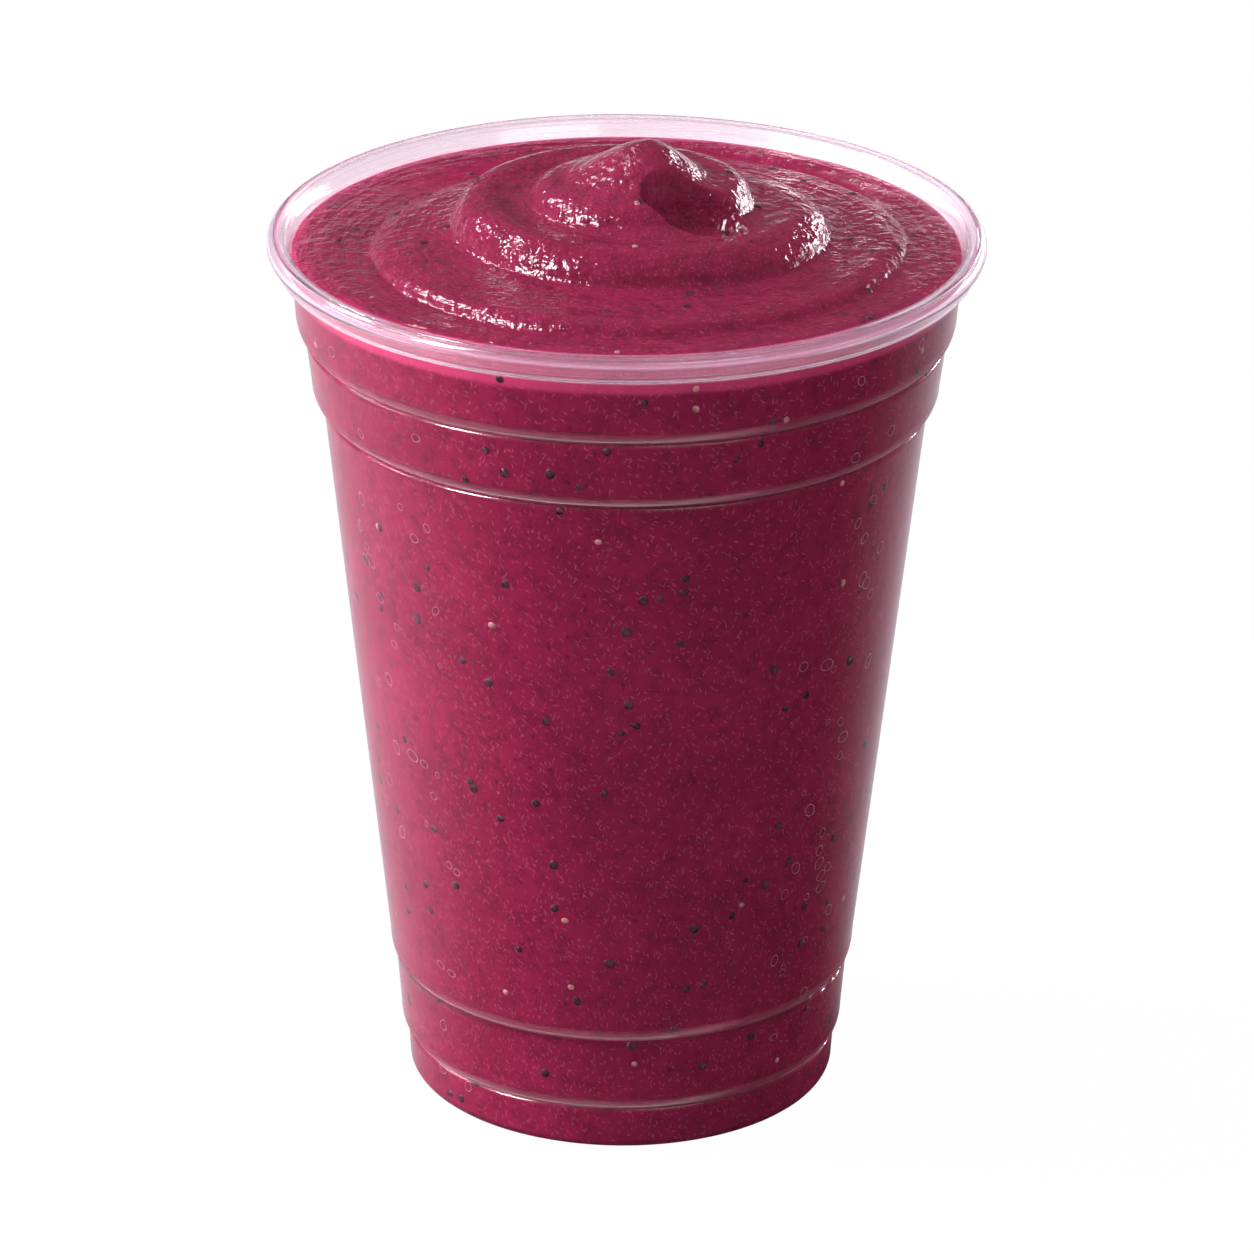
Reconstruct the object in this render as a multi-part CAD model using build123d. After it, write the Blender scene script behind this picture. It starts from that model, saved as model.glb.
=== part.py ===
from build123d import *
import math
import os

# A berry smoothie in a clear cold-drink cup.
# Millimetres, +Z up, origin on the table under the middle of the cup.

# ---- cup ----
cup_height = 125.0
rim_diameter = 98.0
base_diameter = 59.9
wall = 0.6                   # sheet thickness of the formed plastic
base_edge_radius = 1.45
foot_width = 3.2             # flat ring that the cup stands on
base_push_up = 2.2           # how far the middle of the base is raised
base_push_slope = 1.6        # radial run of the push-up's flank

# Bands from the base up: height, outward lean per mm of height, and the ledge above it.
lower_bands = [
    {"height": 6.9, "lean": 0.050, "ledge": 0.86, "round": 2.3},
    {"height": 11.3, "lean": 0.065, "ledge": 0.80, "round": 3.1},
]
# Bands from the rim down: the ledge is the step in below each band.
upper_bands = [
    {"height": 9.25, "lean": 0.068, "ledge": 1.17, "round": 2.8},
    {"height": 9.93, "lean": 0.098, "ledge": 1.47, "round": 2.6},
]
ledge_lift = 0.6             # how far a ledge's inside lies above its outside, in sheet thicknesses

# ---- rolled rim ----
rim_width = 3.2              # from the wall's outside to the rim's outside
rim_depth = 4.3
rim_lean = 0.6               # inward lean of the rolled edge per mm of height
rim_flare = 1.1              # how far the inner face leans out to the crown
crown_outer_radius = 1.25
crown_inner_radius = 0.6
roll_end_radius = 0.7
roll_slit = 0.3              # gap between the rolled end and the wall

# ---- smoothie ----
fill_drop = 2.7              # level at the wall, below the top of the rim
fill_clearance = 0.08        # between the smoothie and the cup's inside

swirl_center = (-0.8, 2.0)
swirl_pitch = 10.5           # how far the fold moves out in one turn
swirl_edge = 17.85           # radius of the fold's outer edge where the turn begins
fold_crest = 0.72            # share of a fold's width at which it is highest
fold_push = 3.0              # how far the second turn bulges out towards the front
fold_push_from = 29.0        # radius from which it does so
fold_push_width = 7.0        # radial run over which the bulge comes in
fold_push_angle = 262.0      # where it is largest, degrees from +X towards +Y
fold_push_spread = 50.0      # and how far it spreads round
# Height of the fold over the furrow outside it, at turns counted along the spiral.
fold_heights = [
    (-1.0, 3.3), (-0.5, 3.1), (-0.25, 2.9), (0.0, 2.4), (0.15, 1.8), (0.3, 1.3),
    (0.5, 1.4), (0.7, 1.9), (1.0, 1.4), (1.15, 0.6), (1.4, 0.1),
]
dome_height = 6.1            # of the heap's shoulder over the level at the wall
dome_radius = 35.0
dome_shoulder = 13.0         # radius inside which the shoulder is flat
wall_fade = 5.0              # distance from the wall over which the heap runs out
swirl_tilt = 0.03            # how much the heap leans up towards the front

peak_center = (2.8, 0.9)
peak_height = 15.2           # over the level at the wall
peak_slope = 0.66
peak_tip_radius = 3.5
peak_blend = 1.2             # softness of the line where the peak meets the folds
peak_steep_side = 1.4        # how much faster the peak falls on its right

bowl_center = (9.8, -8.4)    # hollow in the right front of the peak
bowl_floor = 4.0             # over the level at the wall
bowl_size = (7.2, 4.6)       # half sizes along X and Y
bowl_wall = 3.0              # rise of the hollow's side at those half sizes
bowl_power = 8.0             # how suddenly the side rises
bowl_blend = 0.25            # softness of the hollow's lip
bowl_reach = 2.0             # half sizes beyond which the side rises no further

top_facets_around = 72
top_facets_across = 38
ledge_corners = (0, 0.12, 0.4, 1)    # shares of a ledge's height at which its curve has corners

rim_radius = rim_diameter / 2
wall_top_radius = rim_radius - rim_width
wall_top_z = cup_height - rim_depth
level = cup_height - fill_drop


def band_corners():
    """Corners of the cup's outside from the foot to the rim: (radius, height, ledge rounding)."""
    corners = []
    radius = base_diameter / 2
    height = 0.0
    for band in lower_bands:
        height += band["height"]
        radius += band["height"] * band["lean"]
        corners.append((radius, height, band["ledge"], band["round"]))
        radius += band["ledge"]
    above = []
    radius = wall_top_radius
    height = wall_top_z
    for band in upper_bands:
        height -= band["height"]
        radius -= band["height"] * band["lean"] + band["ledge"]
        above.append((radius, height, band["ledge"], band["round"]))
    return corners + above[::-1]


def inside_area(inset):
    """Half section from the axis out to the cup's outside moved in by inset."""
    foot_outer = base_diameter / 2 - base_edge_radius
    foot_inner = foot_outer - foot_width
    start = (base_diameter / 2 - inset, base_edge_radius + inset)
    edges = Polyline(
        (0, base_push_up + inset),
        (foot_inner - base_push_slope, base_push_up + inset),
        (foot_inner, inset),
        (foot_outer - inset, inset),
    )
    edges += RadiusArc(edges @ 1, start, -base_edge_radius)
    here = start
    for radius, height, ledge, rounding in band_corners():
        crease = (radius - inset, height + ledge_lift * inset)
        edges += Line(here, crease)
        middle = (crease[0], height + rounding)
        tall = middle[1] - crease[1]
        edges += EllipticalCenterArc(middle, ledge, tall, start_angle=270, arc_size=90)
        here = (crease[0] + ledge, middle[1])
    last = (wall_top_radius - inset, wall_top_z)
    edges += Line(here, last)
    edges += Polyline(last, (0, wall_top_z), (0, base_push_up + inset))
    return make_face(edges)


def rim_area():
    """Half section of the rolled rim: a sheet bent out, over and back in towards the wall."""
    inner = wall_top_radius - wall
    overshoot = crown_outer_radius * (rim_lean + math.hypot(1, rim_lean) - 1)
    corner = rim_radius + overshoot
    outside = make_face(Polyline(
        (inner, wall_top_z),
        (inner + rim_flare, cup_height),
        (corner, cup_height),
        (corner - rim_lean * rim_depth, wall_top_z),
        close=True,
    ))
    outside = fillet(outside.vertices().sort_by(Axis.X)[-1], crown_outer_radius)
    crown = outside.vertices().group_by(Axis.Y)[-1].sort_by(Axis.X)
    outside = fillet(crown[0], crown_inner_radius)
    lowest = outside.vertices().group_by(Axis.Y)[0].sort_by(Axis.X)
    outside = fillet(lowest[-1], roll_end_radius)
    hollow = offset(outside, amount=-wall)
    slit = make_face(Polyline(
        (wall_top_radius + roll_slit / 2, wall_top_z),
        (wall_top_radius + roll_slit / 2, wall_top_z + 2 * wall),
        (wall_top_radius + roll_slit * 1.5, wall_top_z + 2 * wall),
        (wall_top_radius + roll_slit * 1.5, wall_top_z),
        close=True,
    ))
    return outside - hollow - slit


def on_side(area):
    """A half section turned upright, ready to be revolved about the vertical axis."""
    return Plane.XZ * area


def make_cup():
    """Thin-walled cup with four stacked bands and a rolled rim."""
    wall_section = inside_area(0) - inside_area(wall)
    section = wall_section + rim_area()
    return revolve(on_side(section), Axis.Z)


def smooth(value):
    """S-shaped rise from 0 to 1."""
    value = min(1.0, max(0.0, value))
    return value * value * (3 - 2 * value)


def fold(share):
    """Height of a fold across its width: a slow rise to the crest, then a steep outer face."""
    if share < fold_crest:
        return smooth(share / fold_crest)
    fall = (share - fold_crest) / (1 - fold_crest)
    return math.sqrt(1 - fall * fall)


def fold_height(along):
    """Height of the fold at a place along the spiral, in turns."""
    before = fold_heights[0]
    for after in fold_heights[1:]:
        if along < after[0]:
            share = max(0.0, (along - before[0]) / (after[0] - before[0]))
            return before[1] + share * (after[1] - before[1])
        before = after
    return before[1]


def larger(first, second, blend):
    """The larger of two heights, with a soft line where they cross."""
    over = (second - first) / blend
    return first + blend * (math.log1p(math.exp(-abs(over))) + max(over, 0.0))


def surface_height(x, y):
    """Height of the smoothie's top: a heap wound with one spiral fold, and a hollowed peak."""
    dx, dy = x - swirl_center[0], y - swirl_center[1]
    radius = math.hypot(dx, dy)
    turn = (math.atan2(dy, dx) / (2 * math.pi)) % 1.0
    off = (turn * 360 - fold_push_angle) / fold_push_spread
    pushed = fold_push * math.exp(-off * off) * smooth((radius - fold_push_from) / fold_push_width)
    folds = (radius - pushed - swirl_edge) / swirl_pitch - turn
    shoulder = smooth((dome_radius - radius) / (dome_radius - dome_shoulder))
    heap = dome_height * shoulder + fold_height(math.floor(folds) + turn) * fold(folds % 1.0)
    heap -= swirl_tilt * dy
    heap *= smooth((wall_top_radius - math.hypot(x, y)) / wall_fade)
    side = x - peak_center[0]
    if side > 0:
        side *= peak_steep_side
    away = math.hypot(side, y - peak_center[1])
    rounded = math.hypot(away, peak_tip_radius) - peak_tip_radius
    top = min(larger(heap, peak_height - peak_slope * rounded, peak_blend), peak_height)
    reach = math.hypot((x - bowl_center[0]) / bowl_size[0], (y - bowl_center[1]) / bowl_size[1])
    bowl = bowl_floor + bowl_wall * min(reach, bowl_reach) ** bowl_power
    return level - larger(-top, -bowl, bowl_blend)


def side_corners(inset):
    """Corners of the smoothie's side from the foot to its level: (radius, height)."""
    corners = [(base_diameter / 2 - inset, base_edge_radius + inset)]
    for radius, height, ledge, rounding in band_corners():
        crease = height + ledge_lift * inset
        tall = height + rounding - crease
        for share in ledge_corners:
            out = ledge * math.sqrt(share * (2 - share))
            corners.append((radius - inset + out, crease + share * tall))
    corners.append((wall_top_radius - inset, wall_top_z))
    lean = rim_flare / rim_depth
    corners.append((wall_top_radius - inset + lean * (level - wall_top_z), level))
    return corners


def ring(radius, height):
    """Level ring of corners about the cup's axis."""
    turns = [2 * math.pi * i / top_facets_around for i in range(top_facets_around)]
    return [(radius * math.cos(turn), radius * math.sin(turn), height) for turn in turns]


def top_ring(share, radius):
    """Ring of corners on the smoothie's top, a share of the way from the peak to the wall."""
    corners = []
    for x, y, height in ring(radius * share, level):
        x += peak_center[0] * (1 - share)
        y += peak_center[1] * (1 - share)
        corners.append((x, y, surface_height(x, y)))
    return corners


def strip(lower, upper, flat):
    """Faces between two rings, as flat four-sided panels or as triangles."""
    faces = []
    for i in range(len(lower)):
        k = (i + 1) % len(lower)
        corners = [lower[i], lower[k], upper[k], upper[i]]
        if flat:
            faces.append(corners)
        else:
            faces.append([corners[0], corners[1], corners[2]])
            faces.append([corners[0], corners[2], corners[3]])
    return faces


def make_smoothie():
    """Smoothie filling the cup up to its level, heaped and swirled above it."""
    inset = wall + fill_clearance
    corners = side_corners(inset)
    foot_outer = base_diameter / 2 - base_edge_radius
    foot_inner = foot_outer - foot_width
    sides = [
        ring(foot_inner - base_push_slope, base_push_up + inset),
        ring(foot_inner, inset),
        ring(foot_outer - inset, inset),
    ]
    sides += [ring(radius, height) for radius, height in corners]
    panels = [sides[0][::-1]]
    for lower, upper in zip(sides, sides[1:]):
        panels += strip(lower, upper, True)
    tops = [sides[-1]]
    for i in range(top_facets_across - 1, 0, -1):
        tops.append(top_ring(i / top_facets_across, corners[-1][0]))
    for outer, inner in zip(tops, tops[1:]):
        panels += strip(outer, inner, False)
    tip = (peak_center[0], peak_center[1], surface_height(*peak_center))
    last = tops[-1]
    panels += [[last[i - 1], last[i], tip] for i in range(len(last))]
    faces = [Face(Wire.make_polygon([Vector(*p) for p in panel], close=True)) for panel in panels]
    return Solid(Shell(faces))


def write(shape, node):
    """One STEP file for each piece."""
    os.makedirs("parts", exist_ok=True)
    export_step(shape, f"parts/{node}.step")


write(make_cup(), "cup")
write(make_smoothie(), "smoothie")
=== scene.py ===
"""Looks of a berry smoothie in a clear cold-drink cup, built around its packed construction model."""

import logging
import math
from dataclasses import dataclass, field
from enum import Enum

import bpy
import numpy as np
from mathutils import Euler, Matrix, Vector

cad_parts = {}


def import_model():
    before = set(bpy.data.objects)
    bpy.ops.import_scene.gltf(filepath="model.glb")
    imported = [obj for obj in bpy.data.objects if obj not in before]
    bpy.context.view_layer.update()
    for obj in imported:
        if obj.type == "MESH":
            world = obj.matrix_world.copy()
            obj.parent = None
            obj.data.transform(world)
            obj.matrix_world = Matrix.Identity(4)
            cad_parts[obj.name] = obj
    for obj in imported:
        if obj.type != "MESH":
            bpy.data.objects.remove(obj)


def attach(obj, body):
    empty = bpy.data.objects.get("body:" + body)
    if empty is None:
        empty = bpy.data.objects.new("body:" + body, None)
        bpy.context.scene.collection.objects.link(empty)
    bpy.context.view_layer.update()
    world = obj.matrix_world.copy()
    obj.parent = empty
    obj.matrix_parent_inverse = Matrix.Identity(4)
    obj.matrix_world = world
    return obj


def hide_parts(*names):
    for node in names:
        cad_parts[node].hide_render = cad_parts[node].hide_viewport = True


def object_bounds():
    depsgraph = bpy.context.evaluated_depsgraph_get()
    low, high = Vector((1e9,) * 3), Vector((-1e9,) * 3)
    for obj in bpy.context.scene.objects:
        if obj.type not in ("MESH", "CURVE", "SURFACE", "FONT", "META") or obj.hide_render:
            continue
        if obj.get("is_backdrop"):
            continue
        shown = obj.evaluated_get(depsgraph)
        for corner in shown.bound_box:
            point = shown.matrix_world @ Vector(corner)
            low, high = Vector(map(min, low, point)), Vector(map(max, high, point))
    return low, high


MM = 0.001
CREASE_GAP = 0.12  # millimetres between the two corners that keep a crease crisp
RIM_START = 0.4  # millimetres over the wall's top at which the rim's finish begins
WET_DROP = 0.6  # millimetres under its level at which the drink stops being wet
# Painted light: the drink's edge near the wall is lightened in colour, standing in for light shining through
# the thin purée.
PAINTED_GLOW_INSET = 0.9  # millimetres inside the wall's top from which light glows through the drink
log = logging.getLogger("smoothie")


class Finish(Enum):
    """Material slots of the record."""

    CLEAR_PLASTIC = "clear_plastic"
    SMOOTHIE = "smoothie"
    DARK_SEEDS = "dark_seeds"
    PALE_SEEDS = "pale_seeds"
    BUBBLE_RIMS = "bubble_rims"


# ---------------------------------------------------------------- shader maths


class Value:
    """A number socket that adds Math nodes when it is used in an expression."""

    def __init__(self, shader: "Shader", socket: bpy.types.NodeSocket) -> None:
        """Wrap a socket of a shader's node tree."""
        self.shader = shader
        self.socket = socket

    def _math(self, operation: str, *parts: object) -> "Value":
        """Add a Math node fed by the parts."""
        inputs = [part.socket if isinstance(part, Value) else part for part in parts]
        node = self.shader.node("ShaderNodeMath", {"operation": operation}, *inputs)
        return Value(self.shader, node.outputs[0])

    def __add__(self, other: object) -> "Value":
        """Sum."""
        return self._math("ADD", self, other)

    __radd__ = __add__

    def __sub__(self, other: object) -> "Value":
        """Difference."""
        return self._math("SUBTRACT", self, other)

    def __rsub__(self, other: object) -> "Value":
        """Difference from a number."""
        return self._math("SUBTRACT", other, self)

    def __mul__(self, other: object) -> "Value":
        """Product."""
        return self._math("MULTIPLY", self, other)

    __rmul__ = __mul__

    def __truediv__(self, other: object) -> "Value":
        """Quotient."""
        return self._math("DIVIDE", self, other)

    def __pow__(self, other: object) -> "Value":
        """Power."""
        return self._math("POWER", self, other)

    def angle(self, across: object) -> "Value":
        """Angle of the direction with this height and that width."""
        return self._math("ARCTAN2", self, across)

    def above(self, edge: float, softness: float) -> "Value":
        """Rise from 0 to 1 around an edge.

        Args:
            edge: value at which the rise is half done.
            softness: width of the rise.

        Returns:
            The clamped rise.
        """
        ends = (edge - softness / 2, edge + softness / 2, 0.0, 1.0)
        settings = {"interpolation_type": "SMOOTHSTEP"}
        node = self.shader.node("ShaderNodeMapRange", settings, self.socket, *ends)
        return Value(self.shader, node.outputs[0])


class Shader:
    """Builds the node tree of one material or world."""

    def __init__(self, owner: bpy.types.Material | bpy.types.World) -> None:
        """Start an empty node tree."""
        self.owner = owner
        owner.use_nodes = True
        self.tree = owner.node_tree
        self.tree.nodes.clear()
        kind = "World" if isinstance(owner, bpy.types.World) else "Material"
        self.output = self.tree.nodes.new(f"ShaderNodeOutput{kind}")

    @classmethod
    def material(cls, name: str) -> "Shader":
        """Start a new material of this name."""
        return cls(bpy.data.materials.new(name))

    def place(self) -> tuple[bpy.types.NodeSocket, list[Value]]:
        """Object coordinates: the whole vector, and its x, y and z."""
        whole = self.node("ShaderNodeTexCoord", {}).outputs["Object"]
        parts = self.node("ShaderNodeSeparateXYZ", {}, whole).outputs
        return whole, [Value(self, part) for part in parts]

    def node(self, kind: str, settings: dict[str, object], *inputs: object) -> bpy.types.Node:
        """Add a node.

        Args:
            kind: the node's type.
            settings: attributes set before the inputs.
            inputs: values or sockets for its inputs in order; None leaves one alone.

        Returns:
            The new node.
        """
        made = self.tree.nodes.new(kind)
        for name, value in settings.items():
            setattr(made, name, value)
        for socket, value in zip(made.inputs, inputs):
            self.feed(socket, value)
        return made

    def feed(self, socket: bpy.types.NodeSocket, value: object) -> None:
        """Set or link one input."""
        if value is None:
            return
        if isinstance(value, Value):
            value = value.socket
        if isinstance(value, bpy.types.NodeSocket):
            self.tree.links.new(value, socket)
        else:
            socket.default_value = value

    def mix(self, share: object, first: object, second: object) -> bpy.types.NodeSocket:
        """Blend two colours.

        Args:
            share: 0 gives the first colour and 1 the second.
            first: colour or socket.
            second: colour or socket.

        Returns:
            The blended colour's socket.
        """
        made = self.tree.nodes.new("ShaderNodeMix")
        made.data_type = "RGBA"
        self.feed(made.inputs[0], share)
        self.feed(made.inputs[6], first)
        self.feed(made.inputs[7], second)
        return made.outputs[2]

    def noise(self, vector: object, scale: float, detail: float = 3.0, rough: float = 0.55) -> Value:
        """Fractal noise from 0 to 1 on a vector."""
        made = self.node("ShaderNodeTexNoise", {}, vector, None, scale, detail, rough)
        return Value(self, made.outputs[0])

    def bump(
        self, height: object, strength: float, depth: float, normal: object = None
    ) -> bpy.types.NodeSocket:
        """Bump from a height of 0 to 1 that stands for a depth in metres."""
        made = self.tree.nodes.new("ShaderNodeBump")
        self.feed(made.inputs["Strength"], strength)
        self.feed(made.inputs["Distance"], depth)
        self.feed(made.inputs["Height"], height)
        self.feed(made.inputs["Normal"], normal)
        return made.outputs[0]

    def principled(self, **inputs: object) -> bpy.types.Node:
        """Principled shader with the named inputs, underscores for spaces."""
        made = self.tree.nodes.new("ShaderNodeBsdfPrincipled")
        for name, value in inputs.items():
            words = name.replace("_", " ").title().replace("Ior", "IOR")
            self.feed(made.inputs[words], value)
        return made

    def finish(self, surface: bpy.types.NodeSocket) -> bpy.types.Material | bpy.types.World:
        """Link the surface to the output and hand the tree's owner over."""
        self.tree.links.new(surface, self.output.inputs["Surface"])
        return self.owner


# ---------------------------------------------------------------- finishes


@dataclass(frozen=True)
class SmoothieFinish:
    """Fruit purée with fibres and specks: wet on top, dull where it lies against the cup.

    Attributes:
        wet_above: height above which it is wet.
        rim_inside: radius outside which a painted glowing band lightens its edge, standing in for light that
            shines through the thin purée.
        painted_glow: painted light colour of that edge.
        light: colour of its pale parts.
        deep: colour of its deep parts.
        dusk: colour of the dark mottling.
        fleck: colour of the fibres.
        grit: colour of the dark specks.
        painted_glow_band: how far under the wet height the painted glowing band begins and ends.
        painted_glow_share: how far the painted glowing band covers.
        unrolled: radius at which the wall's angle is turned into a length.
        fibre_width: fibres across in a metre.
        fibre_length: fibres along in a metre.
        fibre_leans: lean of each family of fibres, and the share of places without one.
    """

    wet_above: float
    rim_inside: float
    # Painted light colour of the lighter band under the rim, not a colour of the purée itself.
    painted_glow: tuple[float, ...] = (0.62, 0.075, 0.20, 1.0)
    light: tuple[float, ...] = (0.222, 0.0148, 0.055, 1.0)
    deep: tuple[float, ...] = (0.172, 0.0116, 0.042, 1.0)
    dusk: tuple[float, ...] = (0.095, 0.0100, 0.028, 1.0)
    fleck: tuple[float, ...] = (0.40, 0.10, 0.17, 1.0)
    grit: tuple[float, ...] = (0.040, 0.004, 0.012, 1.0)
    painted_glow_band: tuple[float, float] = (0.0029, 0.0008)
    painted_glow_share: float = 0.45
    unrolled: float = 0.04
    fibre_width: float = 1900.0
    fibre_length: float = 480.0
    fibre_leans: tuple[tuple[float, float], ...] = ((0.6, 0.10), (-0.9, 0.15), (1.9, 0.20), (-0.15, 0.30))

    def build(self) -> bpy.types.Material:
        """Make the material."""
        shader = Shader.material("smoothie")
        place, (x, y, z) = shader.place()
        radius = (x * x + y * y + 1e-7) ** 0.5
        ring = shader.node("ShaderNodeCombineXYZ", {}, x / radius * 0.006, y / radius * 0.006, radius)
        clouds = shader.noise(place, 70.0, 3.0)
        mottle = shader.noise(place, 430.0, 4.0, 0.7)
        ripples = shader.noise(ring.outputs[0], 620.0, 2.5, 0.6)
        crinkle = shader.noise(place, 480.0, 2.5, 0.6)
        fine = shader.noise(place, 2200.0, 4.0, 0.75)
        color = shader.mix(clouds.above(0.5, 0.5), self.light, self.deep)
        color = shader.mix(mottle.above(0.55, 0.22) * 0.55, color, self.dusk)
        color = shader.mix(fine.above(0.58, 0.16) * 0.7, color, self.light)
        around = y.angle(x) * self.unrolled
        for lean, least in self.fibre_leans:
            fibres = self._fibres(shader, around, z - radius, lean)
            color = self._dots(shader, fibres, color, 1.0, (0.15, 0.16), least, self.fleck, 0.38)
        color = self._dots(shader, place, color, 420.0, (0.15, 0.20), 0.78, self.grit, 0.45)
        # Painted glowing band: lighten a band just under the level near the wall, as light shining through
        # the thin purée would.
        begin, end = (self.wet_above - drop for drop in self.painted_glow_band)
        band = z.above(begin, 0.0010) - z.above(end, 0.0006) * 0.8
        edge = band * radius.above(self.rim_inside, 0.0003)
        color = shader.mix(edge * self.painted_glow_share, color, self.painted_glow)
        relief = None
        for height, strength, depth in ((ripples, 0.6, 0.0009), (crinkle, 0.6, 0.0008), (fine, 0.1, 0.0003)):
            relief = shader.bump(height, strength, depth, relief)
        wet = shader.principled(base_color=color, roughness=fine * 0.06 + 0.03, ior=1.42, normal=relief)
        dull = shader.principled(base_color=color, roughness=1.0, specular_ior_level=0.0)
        wetness = z.above(self.wet_above, 0.0004)
        both = shader.node("ShaderNodeMixShader", {}, wetness, dull.outputs[0], wet.outputs[0])
        return shader.finish(both.outputs[0])

    def _fibres(self, shader: Shader, across: Value, up: Value, lean: float) -> bpy.types.NodeSocket:
        """Stretched coordinates in which round specks become short leaning fibres."""
        wide = (across * math.cos(lean) - up * math.sin(lean)) * self.fibre_width
        long = (across * math.sin(lean) + up * math.cos(lean)) * self.fibre_length
        return shader.node("ShaderNodeCombineXYZ", {}, wide, long, lean).outputs[0]

    @staticmethod
    def _dots(
        shader: Shader,
        place: object,
        color: object,
        scale: float,
        edge: tuple[float, float],
        least: float,
        paint: tuple[float, ...],
        strength: float,
    ) -> bpy.types.NodeSocket:
        """Scatter round specks over a colour.

        Args:
            shader: their shader.
            place: coordinates.
            color: colour under the specks.
            scale: cells in a metre.
            edge: radius of a speck and the softness of its edge, in cells.
            least: share of the cells that stay empty.
            paint: the specks' colour.
            strength: how far they cover.

        Returns:
            The speckled colour's socket.
        """
        cells = shader.node("ShaderNodeTexVoronoi", {}, place, None, scale)
        spot = 1 - Value(shader, cells.outputs["Distance"]).above(*edge)
        picked = Value(shader, shader.node("ShaderNodeSeparateXYZ", {}, cells.outputs["Color"]).outputs[0])
        return shader.mix(spot * picked.above(least, 0.02) * strength, color, paint)


@dataclass(frozen=True)
class PlasticFinish:
    """Clear plastic that lets the light of lamps through: soft wall, painted pale highlight lines on ledges
    and rolled rim.

    Attributes:
        rim_from: height at which the rim begins.
        ledges: heights of the ledges.
        roll_middle: radius and height of the rolled rim's middle.
        tint: colour of what passes.
        passed: colour of the lamps' light behind it.
        rim_highlight_paint: colour of the rim's painted highlight lines and painted pale sheen.
        ledge_highlight_paint: colour of the ledges' painted highlight lines.
        rim_sheen_share: how far a painted pale sheen covers the rim between its lines.
        rim_highlight_share: how far a painted highlight line of the rim covers.
        ledge_highlight_share: how far the painted highlight line of a ledge covers.
        ledge_highlight_band: where that line begins and ends over the ledge's height.
        ledge_softness: how much rougher the plastic is there.
        highlight_line_spread: how many painted highlight lines run round the roll.
        wall_roughness: roughness of the wall.
        rim_roughness: roughness of the rim.
        ior: how strongly it bends light.
    """

    rim_from: float
    ledges: tuple[float, ...]
    roll_middle: tuple[float, float] = (0.0472, 0.1228)
    tint: tuple[float, ...] = (0.955, 0.895, 0.925, 1.0)
    passed: tuple[float, ...] = (0.97, 0.95, 0.965, 1.0)
    rim_highlight_paint: tuple[float, ...] = (0.74, 0.49, 0.67, 1.0)
    ledge_highlight_paint: tuple[float, ...] = (0.85, 0.14, 0.30, 1.0)
    rim_sheen_share: float = 0.03
    rim_highlight_share: float = 0.17
    ledge_highlight_share: float = 0.06
    ledge_highlight_band: tuple[float, float] = (-0.0003, 0.0013)
    ledge_softness: float = 0.45
    wall_roughness: float = 0.16
    rim_roughness: float = 0.07
    highlight_line_spread: float = 2.6
    ior: float = 1.5

    def build(self) -> bpy.types.Material:
        """Make the material."""
        shader = Shader.material("clear_plastic")
        x, y, height = shader.place()[1]
        out = (x * x + y * y) ** 0.5 - self.roll_middle[0]
        angle = (height - self.roll_middle[1]).angle(out)
        across = shader.node("ShaderNodeCombineXYZ", {}, angle * self.highlight_line_spread, 0.0, 0.0)
        # Painted highlights: pale lines round the rolled rim and a faint pale sheen between them, standing
        # in for the light that the roll catches and reflects.
        lines = shader.noise(across.outputs[0], 1.0, 1.0).above(0.55, 0.06)
        rim = height.above(self.rim_from, 0.0012)
        share = rim * (lines * self.rim_highlight_share + self.rim_sheen_share)
        roughness = self.wall_roughness - rim * (self.wall_roughness - self.rim_roughness)
        # Painted highlight: a lighter pink line along each ledge, standing in for light that the ledge's
        # curve catches; the plastic is also rougher there.
        for ledge in self.ledges:
            start, end = (ledge + over for over in self.ledge_highlight_band)
            band = height.above(start, 0.0003) - height.above(end, 0.0010)
            share = share + band * self.ledge_highlight_share
            roughness = roughness + band * self.ledge_softness
        clear = shader.principled(
            base_color=self.tint, roughness=roughness, ior=self.ior, transmission_weight=1.0
        )
        paint = shader.mix(rim, self.ledge_highlight_paint, self.rim_highlight_paint)
        # Painted light: a pale diffuse coat mixed into the clear plastic at the rim and the ledges.
        painted_pale_coat = shader.principled(base_color=paint, roughness=0.25, ior=self.ior)
        surface = shader.node("ShaderNodeMixShader", {}, share, clear.outputs[0], painted_pale_coat.outputs[0])
        light_way = shader.node("ShaderNodeBsdfTransparent", {}, self.passed)
        shadow = shader.node("ShaderNodeLightPath", {}).outputs["Is Shadow Ray"]
        both = shader.node("ShaderNodeMixShader", {}, shadow, surface.outputs[0], light_way.outputs[0])
        return shader.finish(both.outputs[0])


@dataclass(frozen=True)
class SeedFinish:
    """Wet coat of a seed, or the painted pale highlight ring of an air bubble, with a slightly mottled
    colour.

    Attributes:
        name: name of the material.
        light: colour of its pale parts.
        deep: colour of its deep parts.
        roughness: roughness of the coat.
    """

    name: str
    light: tuple[float, ...]
    deep: tuple[float, ...]
    roughness: float = 0.32

    def build(self) -> bpy.types.Material:
        """Make the material."""
        shader = Shader.material(self.name)
        place = shader.place()[0]
        mottle = shader.noise(place, 900.0, 3.0)
        normal = shader.bump(shader.noise(place, 3500.0, 2.0), 0.3, 0.0001)
        surface = shader.principled(
            base_color=shader.mix(mottle.above(0.5, 0.3), self.deep, self.light),
            roughness=self.roughness,
            ior=1.45,
            specular_ior_level=0.2,
            normal=normal,
        )
        return shader.finish(surface.outputs[0])


# ---------------------------------------------------------------- modelling helpers


def deselect_everything() -> None:
    """Leave edit mode and clear the selection."""
    if bpy.context.object is not None and bpy.context.object.mode != "OBJECT":
        bpy.ops.object.mode_set(mode="OBJECT")
    bpy.ops.object.select_all(action="DESELECT")


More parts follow.
